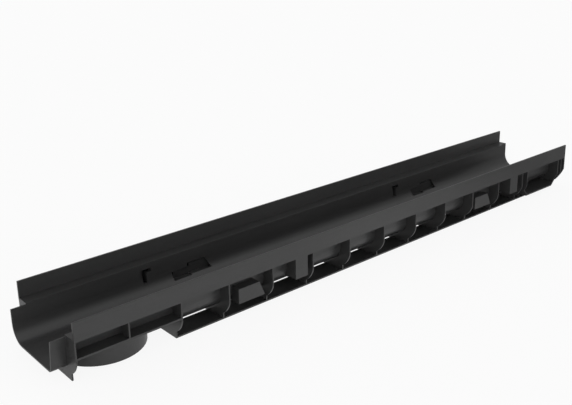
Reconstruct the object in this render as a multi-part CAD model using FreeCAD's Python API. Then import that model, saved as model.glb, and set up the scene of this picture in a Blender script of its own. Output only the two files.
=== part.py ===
import FreeCAD, Part
import os
from FreeCAD import Vector

# One-piece moulded drainage channel: an open trough with a grating seat between two side flanges,
# carried on cross ribs, with a spigot at one end, a socket at the other and a pipe collar below.
# Millimetres. The length runs along X, the width along Y, and the feet stand on Z = 0.

# Overall sizes
flange_length = 1000.0
overall_width = 145.0
overall_height = 78.0
wall = 2.5
top_edge_radius = 0.5

# Trough and grating seat
trough_inner_width = 102.0
floor_underside = 12.3
trough_corner_radius = 20.5
flange_height = 24.6

# Spigot at the left end and socket at the right end
spigot_length = 19.0
spigot_wall = 2.0
spigot_top = 54.0
spigot_key_radius = 6.0
spigot_key_draft = 5.0
socket_side_clearance = 2.4
socket_floor_clearance = 1.5
socket_end_clearance = 1.0

# Cross ribs
rib_inset = 0.5
rib_thickness = 2.0
rib_count = 12
first_rib = 68.75
last_rib_inset = 136.5
rib_straight_bottom = 28.0
rib_curve_inset = 8.4
rib_curve_height = 14.0
foot_inset = 15.0
foot_height = 8.5
split_rib_inset = 121.0
end_plate_straight_bottom = 32.0
end_plate_curve_inset = 6.6
end_plate_curve_height = 19.5

# Base plates under the trough
plate_thickness = 2.2
plate_inner_inset = 49.0

# Shelves in the last bay, flush with the ribs, and the narrower foot below them
end_shelf_bottom = 8.0
end_shelf_slant_length = 40.0
end_shelf_slant_width = 16.5
end_shelf_width = 42.0
end_gusset_height = 10.0
end_gusset_width = 6.0
end_foot_inset = 27.5

# Pipe collar below the first bays
collar_outer_diameter = 115.0
collar_wall = 2.25
collar_centre = 66.75
pipe_stop = 2.0
shelf_top = 33.5

# Lock boxes in the side walls
lock_left = 230.5
lock_top_right = 265.0
lock_bottom_right = 273.5
lock_front_inset = 4.0
lock_bottom = 19.0
lock_top = 39.6
recess_left = 207.0
recess_bottom = 20.0
recess_top = 31.2
recess_depth = 2.0
slit_width = 3.5
slit_height = 2.0
slit_depth = 6.0

# Angled clip slots beside the lock boxes
clip_left = 158.5
clip_right = 174.5
clip_top = 48.0
clip_bottom = 28.0
clip_width = 5.5
clip_shoulder = 9.5
clip_lean = 4.0
clip_depth = 10.0

# Stake sleeves flush with the flange
sleeve_left = 325.0
sleeve_right = 347.0
sleeve_bottom = 24.0

# Sizes that follow from those above
half_width = overall_width / 2
seat_underside = overall_height - flange_height
seat_top = seat_underside + wall
inner_half = trough_inner_width / 2
outer_half = inner_half + wall
floor_top = floor_underside + wall
spigot_outer_half = inner_half + spigot_wall
spigot_underside = floor_top - spigot_wall
spigot_outer_corner = trough_corner_radius + spigot_wall
socket_half = spigot_outer_half + socket_side_clearance
socket_floor = spigot_underside - socket_floor_clearance
socket_start = flange_length - spigot_length - socket_end_clearance
rib_half = half_width - rib_inset
foot_half = half_width - foot_inset
last_rib = flange_length - last_rib_inset
split_rib = flange_length - split_rib_inset
end_rib = socket_start - rib_thickness / 2
rib_pitch = (last_rib - first_rib) / (rib_count - 1)
second_rib = first_rib + rib_pitch
lock_pitch = flange_length / 2
end_foot_half = half_width - end_foot_inset
end_shelf_inner = half_width - end_shelf_width
collar_outer_radius = collar_outer_diameter / 2
collar_bore_radius = collar_outer_radius - collar_wall


def block(x0, x1, y0, y1, z0, z1):
    return Part.makeBox(x1 - x0, y1 - y0, z1 - z0, Vector(x0, y0, z0))


def both_sides(shape):
    return [shape, shape.mirror(Vector(0, 0, 0), Vector(0, 1, 0))]


def arc(a, b, c):
    return Part.Arc(a, b, c).toShape()


def extrude(edges, x0, x1):
    face = Part.Face(Part.Wire(edges))
    return face.extrude(Vector(x1 - x0, 0, 0))


def trough_prism(half, bottom, near_radius, far_radius, top, x0, x1, draft=0):
    # A solid bar with the section of a round-cornered trough; the draft leans the near side in
    near_foot = draft - half
    near_bend = near_radius * (1 - 0.5 ** 0.5)
    far_bend = far_radius * (1 - 0.5 ** 0.5)
    near_top = Vector(x0, -half, top)
    near_low = Vector(x0, near_foot, bottom + near_radius)
    near_mid = Vector(x0, near_foot + near_bend, bottom + near_bend)
    near_floor = Vector(x0, near_foot + near_radius, bottom)
    far_floor = Vector(x0, half - far_radius, bottom)
    far_mid = Vector(x0, half - far_bend, bottom + far_bend)
    far_low = Vector(x0, half, bottom + far_radius)
    far_top = Vector(x0, half, top)
    edges = [
        Part.makeLine(near_top, near_low),
        arc(near_low, near_mid, near_floor),
        Part.makeLine(near_floor, far_floor),
        arc(far_floor, far_mid, far_low),
        Part.makeLine(far_low, far_top),
        Part.makeLine(far_top, near_top),
    ]
    return extrude(edges, x0, x1)


def trough_bar(offset, top, x0, x1):
    # The trough's inner section grown outwards by an offset
    radius = trough_corner_radius + offset
    return trough_prism(inner_half + offset, floor_top - offset, radius, radius, top, x0, x1)


def rib(centre, side_half, straight_bottom, curve_inset, curve_height):
    # A cross plate: straight sides, a curve drawn in under them and a narrower foot
    x0 = centre - rib_thickness / 2
    curve_half = half_width - curve_inset
    top = seat_underside + wall / 2
    near = [
        Vector(x0, -side_half, top),
        Vector(x0, -side_half, straight_bottom),
        Vector(x0, -curve_half, curve_height),
        Vector(x0, -foot_half, foot_height),
        Vector(x0, -foot_half, 0),
    ]
    far = [Vector(p.x, -p.y, p.z) for p in near]
    edges = [
        Part.makeLine(near[0], near[1]),
        arc(near[1], near[2], near[3]),
        Part.makeLine(near[3], near[4]),
        Part.makeLine(near[4], far[4]),
        Part.makeLine(far[4], far[3]),
        arc(far[3], far[2], far[1]),
        Part.makeLine(far[1], far[0]),
        Part.makeLine(far[0], near[0]),
    ]
    return extrude(edges, x0, x0 + rib_thickness)


def side_profile(points, y0, y1):
    # A plate drawn in the XZ plane and pushed along Y
    corners = [Vector(x, y0, z) for x, z in points]
    face = Part.Face(Part.makePolygon(corners + corners[:1]))
    return face.extrude(Vector(0, y1 - y0, 0))


solids = []
cuts = []

# Trough shell, grating seats and flanges
shell = trough_bar(wall, seat_top, 0, flange_length)
solids.append(shell)
solids += both_sides(block(0, flange_length, -half_width, -inner_half, seat_underside, seat_top))
solids += both_sides(block(0, flange_length, -half_width, wall - half_width, seat_underside, overall_height))

# Spigot: the trough runs on past the flanges with a squared near corner
solids.append(trough_prism(spigot_outer_half, spigot_underside, spigot_key_radius, spigot_outer_corner,
                           spigot_top, -spigot_length, wall, spigot_key_draft))

# Socket: a widened end that takes the spigot of the next channel
socket_near_radius = spigot_key_radius + socket_floor_clearance
socket_far_radius = spigot_outer_corner + socket_floor_clearance
solids.append(trough_prism(socket_half + wall, socket_floor - wall, socket_near_radius + wall,
                           socket_far_radius + wall, seat_top, socket_start - rib_thickness, flange_length))

# Cross ribs
shape_of_rib = (rib_half, rib_straight_bottom, rib_curve_inset, rib_curve_height)
solids.append(rib(rib_thickness / 2, *shape_of_rib))
for number in range(1, rib_count):
    solids.append(rib(first_rib + rib_pitch * number, *shape_of_rib))
solids.append(rib(split_rib, *shape_of_rib))
solids.append(rib(end_rib, *shape_of_rib))
solids.append(rib((end_rib + flange_length) / 2, *shape_of_rib))
solids.append(rib(flange_length - rib_thickness / 2, half_width, end_plate_straight_bottom,
                  end_plate_curve_inset, end_plate_curve_height))

# The rib over the pipe collar stops on the shelf
solids += both_sides(block(first_rib - rib_thickness / 2, first_rib + rib_thickness / 2,
                           -rib_half, -inner_half, shelf_top - wall, seat_underside + wall / 2))

# Shelves over the pipe collar and the collar itself, with a stop for the pipe
solids += both_sides(block(0, second_rib, -rib_half, -inner_half, shelf_top - wall, shelf_top))
collar_height = shelf_top - wall / 2
solids.append(Part.makeCylinder(collar_outer_radius, collar_height, Vector(collar_centre, 0, 0)))
cuts.append(Part.makeCylinder(collar_bore_radius, floor_underside + wall, Vector(collar_centre, 0, -wall)))
throat = Part.makeCylinder(collar_bore_radius - pipe_stop, shelf_top - wall, Vector(collar_centre, 0, 0))
cuts.append(throat.cut(shell))

# Base plates: side strips between the ribs, and a full plate under the socket end
plate_inner = half_width - plate_inner_inset
solids += both_sides(block(second_rib, last_rib, -foot_half, -plate_inner, 0, plate_thickness))
solids.append(block(last_rib, flange_length, -foot_half, foot_half, 0, plate_thickness))

# Shelves in the last bay, slanted at the end, each with a gusset on the split rib; the foot below is narrower
slant_start = flange_length - end_shelf_slant_length
shelf_corners = [
    Vector(split_rib, -rib_half, end_shelf_bottom),
    Vector(slant_start, -rib_half, end_shelf_bottom),
    Vector(flange_length, end_shelf_slant_width - rib_half, end_shelf_bottom),
    Vector(flange_length, -end_shelf_inner, end_shelf_bottom),
    Vector(split_rib, -end_shelf_inner, end_shelf_bottom),
]
end_shelf = Part.Face(Part.makePolygon(shelf_corners + shelf_corners[:1]))
solids += both_sides(end_shelf.extrude(Vector(0, 0, wall)))
gusset_left = split_rib - rib_thickness / 2
gusset_top = end_shelf_bottom + end_gusset_height
gusset_corners = [
    Vector(gusset_left, -rib_half, end_shelf_bottom),
    Vector(gusset_left, -rib_half, gusset_top - end_gusset_width),
    Vector(gusset_left, end_gusset_width - rib_half, gusset_top),
    Vector(gusset_left, -inner_half, gusset_top),
    Vector(gusset_left, -inner_half, end_shelf_bottom),
]
end_gusset = Part.Face(Part.makePolygon(gusset_corners + gusset_corners[:1]))
solids += both_sides(end_gusset.extrude(Vector(rib_thickness, 0, 0)))
cuts += both_sides(block(slant_start, flange_length + wall, -half_width - wall,
                         -end_foot_half, -wall, end_shelf_bottom))

# Lock boxes: cored from below, each with a shallow opening in the trough wall and slits at its edge
lock_front = half_width - lock_front_inset
inside = inner_half - trough_corner_radius / 2
recess_back = inner_half + recess_depth
slit_back = inner_half + slit_depth
slot_back = inner_half + clip_depth
for shift in (0, lock_pitch):
    left = lock_left + shift
    opening_left = left + wall
    opening_top_right = lock_top_right - wall + shift
    opening_bottom_right = lock_bottom_right - wall + shift
    opening_top = lock_top - wall
    box_outline = [
        (left, lock_bottom),
        (lock_bottom_right + shift, lock_bottom),
        (lock_top_right + shift, lock_top),
        (left, lock_top),
    ]
    opening = [
        (opening_left, lock_bottom + wall),
        (opening_bottom_right, lock_bottom + wall),
        (opening_top_right, opening_top),
        (opening_left, opening_top),
    ]
    core = [
        (opening_left, lock_bottom - wall),
        (opening_bottom_right, lock_bottom - wall),
        (opening_top_right, opening_top),
        (opening_left, opening_top),
    ]
    solids += both_sides(side_profile(box_outline, inside, lock_front))
    cuts += both_sides(side_profile(opening, inside, recess_back))
    cuts += both_sides(side_profile(core, slit_back + wall, lock_front - wall))
    cuts += both_sides(block(opening_left, opening_left + slit_width, inside, slit_back,
                             recess_top, opening_top))
    cuts += both_sides(block(opening_left, opening_top_right, inside, slit_back,
                             opening_top - slit_height, opening_top))

# Shallow recesses beside the lock boxes and angled clip slots, in the far wall only
for shift in (0, lock_pitch):
    left = recess_left + shift
    right = lock_left + 2 * wall + shift
    slot_left = clip_left + shift
    slot_right = clip_right + shift
    slot_outline = [
        (slot_left, clip_top),
        (slot_right, clip_top),
        (slot_right, clip_top - clip_width),
        (slot_left + clip_shoulder, clip_top - clip_width),
        (slot_left + clip_width + clip_lean, clip_bottom),
        (slot_left + clip_lean, clip_bottom),
    ]
    solids.append(block(left - wall, right, inside, slit_back + wall,
                        recess_bottom - wall, recess_top + wall))
    solids.append(block(slot_left - wall, slot_right + wall, inside, slot_back + wall,
                        clip_bottom - wall, clip_top + wall))
    cuts.append(block(left, right, inside, recess_back, recess_bottom, recess_top))
    cuts.append(block(left, left + slit_width, inside, slit_back, recess_bottom, recess_top))
    cuts.append(side_profile(slot_outline, inside, slot_back))

# Stake sleeves: three-sided, open below, flush with the flange
for shift in (0, lock_pitch):
    left = sleeve_left + shift
    right = sleeve_right + shift
    solids += both_sides(block(left, right, -half_width, -inner_half,
                               sleeve_bottom, seat_underside + wall / 2))
    cuts += both_sides(block(left + wall, right - wall, wall - half_width, -outer_half,
                             sleeve_bottom - wall, seat_underside))

# Hollow of the trough, the spigot, the socket and the space above the grating seat
above = overall_height + wall
cuts.append(trough_bar(0, above, 0, socket_start + wall))
cuts.append(trough_prism(inner_half, floor_top, spigot_key_radius - spigot_wall, trough_corner_radius,
                         spigot_top, -spigot_length - wall, 0, spigot_key_draft))
cuts.append(trough_prism(socket_half, socket_floor, socket_near_radius, socket_far_radius, above,
                         socket_start, flange_length + wall))
cuts.append(block(-spigot_length, flange_length + wall, wall - half_width, half_width - wall,
                  seat_top, above))

channel = solids[0].multiFuse(solids[1:]).removeSplitter()
channel = channel.cut(cuts)
channel = channel.removeSplitter()

# Rounded top edges of the flanges
top_edges = [
    edge for edge in channel.Edges
    if abs(edge.BoundBox.ZMin - overall_height) < 0.01 and edge.BoundBox.XLength > flange_length / 2
]
channel = channel.makeFillet(top_edge_radius, top_edges)

channel.translate(Vector((spigot_length - flange_length) / 2, 0, 0))
if channel.ShapeType == "Compound" and len(channel.Solids) == 1:
    channel = channel.Solids[0]
print("solids", len(channel.Solids), "valid", channel.isValid())
print("volume cm3", round(channel.Volume / 1000, 1))
print("box", channel.BoundBox)

os.makedirs("parts", exist_ok=True)
channel.exportStep("parts/channel_body.step")
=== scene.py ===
# %% [markdown]
# # A moulded drainage channel
# A drainage channel is a one-piece plastic trough that is laid in the ground in a row with others, so that
# rain runs into it through a grating. The solid shape is finished already, in metres, and comes in as a
# fixed frame. A copy could be modelled again in Blender, but it would only risk drifting from the real
# sizes, so this lesson keeps that shape and spends its effort on the plastic, the light and the camera.

# %% Load the shape
import math

import bmesh
import bpy
from mathutils import Matrix, Vector

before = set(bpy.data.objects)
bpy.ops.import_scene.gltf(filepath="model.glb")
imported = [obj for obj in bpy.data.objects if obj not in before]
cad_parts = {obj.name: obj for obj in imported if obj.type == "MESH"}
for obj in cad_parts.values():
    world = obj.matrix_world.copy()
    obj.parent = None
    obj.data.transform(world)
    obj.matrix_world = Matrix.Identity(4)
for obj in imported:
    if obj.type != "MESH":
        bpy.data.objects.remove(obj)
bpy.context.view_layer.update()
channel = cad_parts["channel_body"]

# %% [markdown]
# ## The black moulded plastic
# The real piece is injection-moulded polypropylene with carbon black in it. Its colour is not pure black: it
# is a deep grey, a little uneven where the melt flowed along the mould. A picture of plastic could be mapped
# on, but that would show seams and repeat, so the finish is worked out from noise in object coordinates,
# which fixes it to the shape at its true scale. A scale of 60 gives spots of about a sixtieth of a metre.

# %% Start the plastic
plastic = bpy.data.materials.new("black_moulded_plastic")
plastic.use_nodes = True
finish = plastic.node_tree
shader = finish.nodes["Principled BSDF"]
on_channel = finish.nodes.new("ShaderNodeTexCoord").outputs["Object"]


def noise(scale, detail, stretch=(1, 1, 1)):
    """Noise in object coordinates; a stretch below 1 draws it out along that axis."""
    mapping = finish.nodes.new("ShaderNodeMapping")
    mapping.inputs["Scale"].default_value = stretch
    finish.links.new(on_channel, mapping.inputs["Vector"])
    texture = finish.nodes.new("ShaderNodeTexNoise")
    texture.inputs["Scale"].default_value = scale
    texture.inputs["Detail"].default_value = detail
    finish.links.new(mapping.outputs["Vector"], texture.inputs["Vector"])
    return texture.outputs["Fac"]


streak_noise = noise(scale=60, detail=3, stretch=(0.12, 1, 1))
mottle_noise = noise(scale=220, detail=4)
print("started", plastic.name, "with", len(finish.nodes), "nodes")

# %% [markdown]
# The melt leaves long soft streaks along the channel, and a finer mottle where the black is not quite mixed
# in. Two greys could be blended by each noise, but then the mean would be hard to read from the numbers. So
# each noise becomes a ratio close to 1, and one base grey is multiplied by both. Noise lies mostly between
# 0.3 and 0.7, so a range starts and stops there unless it is told otherwise. The two helpers below, one for
# ranges and one for arithmetic, take the node tree they work in, because the floor and the studio need them
# too.

# %% Streaks and mottle
def spread(tree, value, low, high, start=0.3, stop=0.7, curve="LINEAR"):
    """Turns a value that runs from start to stop into one that runs from low to high."""
    ramp = tree.nodes.new("ShaderNodeMapRange")
    ramp.interpolation_type = curve
    ramp.inputs["From Min"].default_value = start
    ramp.inputs["From Max"].default_value = stop
    ramp.inputs["To Min"].default_value = low
    ramp.inputs["To Max"].default_value = high
    tree.links.new(value, ramp.inputs["Value"])
    return ramp.outputs["Result"]


def combine(tree, kind, *values):
    """Joins numbers and sockets with a Math node."""
    node = tree.nodes.new("ShaderNodeMath")
    node.operation = kind
    for socket, value in zip(node.inputs, values):
        if hasattr(value, "is_output"):
            tree.links.new(value, socket)
        else:
            socket.default_value = value
    return node.outputs["Value"]


base_grey = 0.035
streaks = spread(finish, streak_noise, low=0.94, high=1.06)
mottle = spread(finish, mottle_noise, low=0.96, high=1.04)
grey = combine(finish, "MULTIPLY", combine(finish, "MULTIPLY", streaks, mottle), base_grey)
colour = finish.nodes.new("ShaderNodeCombineColor")
for primary in ("Red", "Green", "Blue"):
    finish.links.new(grey, colour.inputs[primary])
finish.links.new(colour.outputs["Color"], shader.inputs["Base Color"])
print("plastic base grey", base_grey)

# %% [markdown]
# ## Its gloss and its skin
# Fresh from the mould the plastic is satin: smooth enough for the curved corner of the trough to show the
# studio ceiling as a bright band with a clear edge, and dull enough for that edge to be a little soft. One
# roughness value would look like paint, so a slow noise makes it duller in patches. The skin also has the
# fine grain of the mould's steel, and a slight ripple along the channel. They could be displaced, but they
# are about a hundredth of a millimetre deep, so a bump is enough.

# %% Gloss and grain
smoothest = 0.32
dullest = 0.37
finish.links.new(spread(finish, noise(scale=35, detail=2), smoothest, dullest), shader.inputs["Roughness"])
shader.inputs["IOR"].default_value = 1.5

ripple_share = 0.6
ripple = noise(scale=140, detail=2, stretch=(0.3, 1, 1))
grain = noise(scale=2600, detail=2)
skin = combine(finish, "ADD", grain, combine(finish, "MULTIPLY", ripple, ripple_share))
skin_depth = 0.0002
skin_strength = 0.06
bump = finish.nodes.new("ShaderNodeBump")
bump.inputs["Strength"].default_value = skin_strength
bump.inputs["Distance"].default_value = skin_depth
finish.links.new(skin, bump.inputs["Height"])
finish.links.new(bump.outputs["Normal"], shader.inputs["Normal"])

channel.data.materials.clear()
channel.data.materials.append(plastic)
print("plastic roughness", smoothest, "to", dullest, "in", len(finish.nodes), "nodes")

# %% [markdown]
# ## A white floor
# The channel stands on a plain white studio floor that runs on far past the picture. A box or a curved sweep
# would do as well, but a flat sheet is all that the camera sees and it gives the outer walls something white
# to mirror. It lies half a millimetre under the feet, so that the two never share a plane.

# %% Floor
floor_half_width = 100
floor_gap = 0.0005
sheet = bmesh.new()
bmesh.ops.create_grid(sheet, x_segments=1, y_segments=1, size=floor_half_width)
bmesh.ops.translate(sheet, vec=(0, 0, -floor_gap), verts=sheet.verts)
floor_mesh = bpy.data.meshes.new("studio_floor")
sheet.to_mesh(floor_mesh)
sheet.free()
floor = bpy.data.objects.new("studio_floor", floor_mesh)
scene = bpy.context.scene
scene.collection.objects.link(floor)
print("floor half width", floor_half_width, "m")

# %% [markdown]
# In the gloss of the outer walls the floor is a painted pool of light: a glow on each long side of the
# channel that only reflections see, and that fades outwards as it would below a soft box. An even white
# would be simpler, but then the flange would flash where it is seen at a shallow angle, and in the
# photograph it does not. Two pools could be added up, but one is enough when the distance across the channel
# is taken without its sign, which folds the floor in two.

# %% Painted pools of light
white = bpy.data.materials.new("white_floor")
white.use_nodes = True
paint = white.node_tree
axes = paint.nodes.new("ShaderNodeSeparateXYZ")
on_floor = paint.nodes.new("ShaderNodeTexCoord").outputs["Object"]
paint.links.new(on_floor, axes.inputs["Vector"])
folded = paint.nodes.new("ShaderNodeCombineXYZ")
paint.links.new(axes.outputs["X"], folded.inputs["X"])
paint.links.new(combine(paint, "ABSOLUTE", axes.outputs["Y"]), folded.inputs["Y"])

pool_middle = (-0.15, 0.30, 0)
distance = paint.nodes.new("ShaderNodeVectorMath")
distance.operation = "DISTANCE"
distance.inputs[1].default_value = pool_middle
paint.links.new(folded.outputs["Vector"], distance.inputs[0])

bright_radius = 0.25
dim_radius = 0.72
painted_pool_peak = 1.0
painted_pool_far = 0.12
# The painted pool of light: a glow strength for reflections, full near the middle and fading outwards.
painted_light_pool = spread(
    paint, distance.outputs["Value"], painted_pool_peak, painted_pool_far, bright_radius, dim_radius, "SMOOTHSTEP"
)
print("pools of", painted_pool_peak, "fade to", painted_pool_far, "at", dim_radius, "m from", pool_middle)

# %% [markdown]
# The floor in the photograph is pure white. More light would bleach it, but it would bleach the plastic too.
# So most of what the eye sees of the floor is a plain white of strength 1, and the rest is painted board,
# which takes the soft shadow of the channel. The gloss sees the pools with a third of board, so that the
# feet mirror the shadow they stand in.

# %% Mix the floor paint
board_white = 0.95
board = paint.nodes["Principled BSDF"]
board.inputs["Base Color"].default_value = (board_white, board_white, board_white, 1)
board.inputs["Roughness"].default_value = 1.0
board.inputs["Specular IOR Level"].default_value = 0.0

rays = paint.nodes.new("ShaderNodeLightPath")
from_eye = rays.outputs["Is Camera Ray"]
from_gloss = combine(paint, "MAXIMUM", rays.outputs["Is Glossy Ray"], rays.outputs["Is Transmission Ray"])
glow = paint.nodes.new("ShaderNodeEmission")
glow.inputs["Color"].default_value = (1, 1, 1, 1)
# For the eye the glow is an even white of strength 1; for reflections it is the painted pool of light.
paint.links.new(combine(paint, "MAXIMUM", from_eye, painted_light_pool), glow.inputs["Strength"])

white_for_eye = 0.9
white_for_gloss = 0.67
eye_share = combine(paint, "MULTIPLY", from_eye, white_for_eye)
gloss_share = combine(paint, "MULTIPLY", from_gloss, white_for_gloss)
mix = paint.nodes.new("ShaderNodeMixShader")
paint.links.new(combine(paint, "ADD", eye_share, gloss_share), mix.inputs["Fac"])
paint.links.new(board.outputs["BSDF"], mix.inputs[1])
paint.links.new(glow.outputs["Emission"], mix.inputs[2])
paint.links.new(mix.outputs["Shader"], paint.nodes["Material Output"].inputs["Surface"])
floor_mesh.materials.append(white)
print("floor paint nodes", len(paint.nodes))

# %% [markdown]
# ## A soft ceiling of light
# The photograph has no hard shadow and one bright band along the inside corner of the trough, which is the
# mirror image of a wide light overhead. Several lamps could stand for it, but each would leave its own edge
# in the gloss, so the studio is a dome. What the gloss sees of it is bright overhead, dim towards the spigot
# end and lighter towards the socket end, with soft changes between. A direction's three parts run from -1 to
# 1, so an angle above level is turned into its upward part first.

# %% Studio dome
world = bpy.data.worlds.new("studio_dome")
scene.world = world
world.use_nodes = True
sky = world.node_tree
direction = sky.nodes.new("ShaderNodeTexCoord").outputs["Generated"]
parts = sky.nodes.new("ShaderNodeSeparateXYZ")
sky.links.new(direction, parts.inputs["Vector"])


def rise(value, low, high, start, stop):
    """A smooth change of brightness between two directions."""
    return spread(sky, value, low, high, start, stop, "SMOOTHSTEP")


def upward(angle):
    """The upward part of a direction that points this many degrees above level."""
    return math.sin(math.radians(angle))


mirror_top = 0.54
mirror_spigot_end = 0.1
mirror_socket_end = 0.42
overhead = rise(parts.outputs["Z"], 0.0, mirror_top, start=upward(30), stop=upward(50))
along = rise(parts.outputs["X"], mirror_spigot_end, mirror_socket_end, start=-0.2, stop=0.7)
mirrored = combine(sky, "ADD", overhead, along)
print("gloss sees", mirror_top, "more overhead, and", mirror_spigot_end, "to", mirror_socket_end, "along")

# %% [markdown]
# The rest of the light is a soft box beside the camera, a weaker one behind and a glow from above. It lifts
# the upright faces more than the level ones, which helps to keep the flange lighter than the floor of the
# trough. A lamp could do it, but it would throw an edge of shadow that the photograph does not have.

# %% Soft fill
fill_top = 0.36
fill_front = 2.0
fill_back = 1.3
camera_side = (-0.7, -0.7, 0)
towards = sky.nodes.new("ShaderNodeVectorMath")
towards.operation = "DOT_PRODUCT"
towards.inputs[1].default_value = camera_side
sky.links.new(direction, towards.inputs[0])
around = rise(towards.outputs["Value"], fill_back, fill_front, start=-0.3, stop=0.6)
height = rise(parts.outputs["Z"], 0.0, 1.0, start=upward(10), stop=upward(55))
low_fill = combine(sky, "MULTIPLY", around, combine(sky, "SUBTRACT", 1.0, height))
high_fill = combine(sky, "MULTIPLY", height, fill_top)
soft_fill = combine(sky, "ADD", low_fill, high_fill)
print("fill", fill_front, "in front,", fill_back, "behind and", fill_top, "from above")

# %% [markdown]
# One strength could light everything, but the mirror images and the fill are matched to the photograph one
# by one. So the dome asks what kind of ray has reached it, and gives the gloss its own brightness.

# %% Join the dome
gloss = sky.nodes.new("ShaderNodeLightPath").outputs["Is Glossy Ray"]
for_gloss = combine(sky, "MULTIPLY", mirrored, gloss)
for_rest = combine(sky, "MULTIPLY", soft_fill, combine(sky, "SUBTRACT", 1.0, gloss))
background = sky.nodes["Background"]
background.inputs["Color"].default_value = (1, 1, 1, 1)
sky.links.new(combine(sky, "ADD", for_gloss, for_rest), background.inputs["Strength"])
world.cycles.sampling_method = "NONE"
print("dome nodes", len(sky.nodes))

# %% [markdown]
# ## The camera
# The photograph looks down at the spigot end from the left. Its camera could be set by eye, but the straight
# edges of the channel fix it: the place, the turn and the lens below make the corners of the flanges fall
# where they are in the photograph. The lens is shifted a little, because the photograph was cropped, and the
# camera is rolled by about one degree, because the photograph's upright edges lean by that much. The angles
# are in radians, as Blender's own are.

# %% Camera
camera_data = bpy.data.cameras.new("photo_camera")
camera = bpy.data.objects.new("photo_camera", camera_data)
scene.collection.objects.link(camera)
scene.camera = camera
camera_place = (-0.82396, -0.81252, 0.49449)
yaw = 0.7038
pitch = 0.2888
roll = -0.0217
forward = Vector((math.sin(yaw) * math.cos(pitch), math.cos(yaw) * math.cos(pitch), -math.sin(pitch)))
right = Vector((math.cos(yaw), -math.sin(yaw), 0))
turn = Matrix((right, right.cross(forward), -forward)).transposed().to_4x4()
camera.matrix_world = Matrix.Translation(camera_place) @ turn @ Matrix.Rotation(roll, 4, "Z")
camera_data.sensor_width = 36
camera_data.lens = 50.445
camera_data.shift_x = 0.01719
camera_data.shift_y = -0.08275
camera_data.clip_start = 0.01
camera_data.clip_end = 500
scene.view_settings.view_transform = "Standard"
print("camera", [round(value, 3) for value in camera.location], "lens", camera_data.lens)
